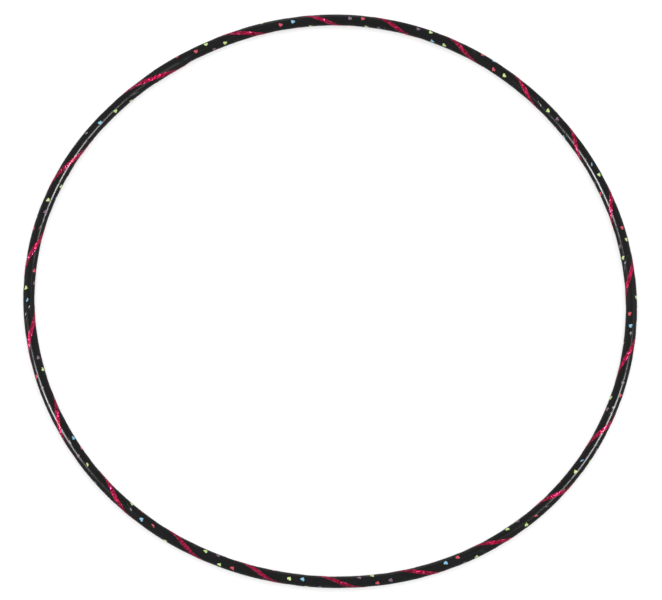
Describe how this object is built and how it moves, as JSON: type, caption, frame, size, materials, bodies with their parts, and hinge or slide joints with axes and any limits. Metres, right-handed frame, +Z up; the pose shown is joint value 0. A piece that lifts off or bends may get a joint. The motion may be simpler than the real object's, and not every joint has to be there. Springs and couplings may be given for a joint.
{
  "type": "rhythmic hoop",
  "caption": "Round hoop of bent plastic pipe, joined by an inner plug and rivets, wound with a heart-print tape and a narrow glitter stripe.",
  "frame": {"origin": "centre of the ring, on the surface the hoop lies on", "axes": "+Z up through the ring; +X to the right and +Y away from someone looking from the front; the pipe's joint is at 128 degrees counter-clockwise from +X"},
  "size_m": [0.881, 0.8812, 0.0172],
  "materials": {
    "pipe_plastic": "glossy extruded black",
    "plug_plastic": "plain moulded grey",
    "sleeve_film": "satin black shrink film",
    "rivet_aluminium": "plain",
    "mandrel_steel": "plain",
    "heart_tape": "glossy black film with small printed hearts",
    "glitter_tape": "magenta glitter film"
  },
  "bodies": {
    "root": {"pipe": "pipe_plastic", "joint_plug": "plug_plastic", "joint_sleeve": "sleeve_film", "rivet_body_left": "rivet_aluminium", "rivet_body_right": "rivet_aluminium", "rivet_mandrel_left": "mandrel_steel", "rivet_mandrel_right": "mandrel_steel", "heart_tape": "heart_tape", "glitter_stripe": "glitter_tape"}
  },
  "joints": []
}
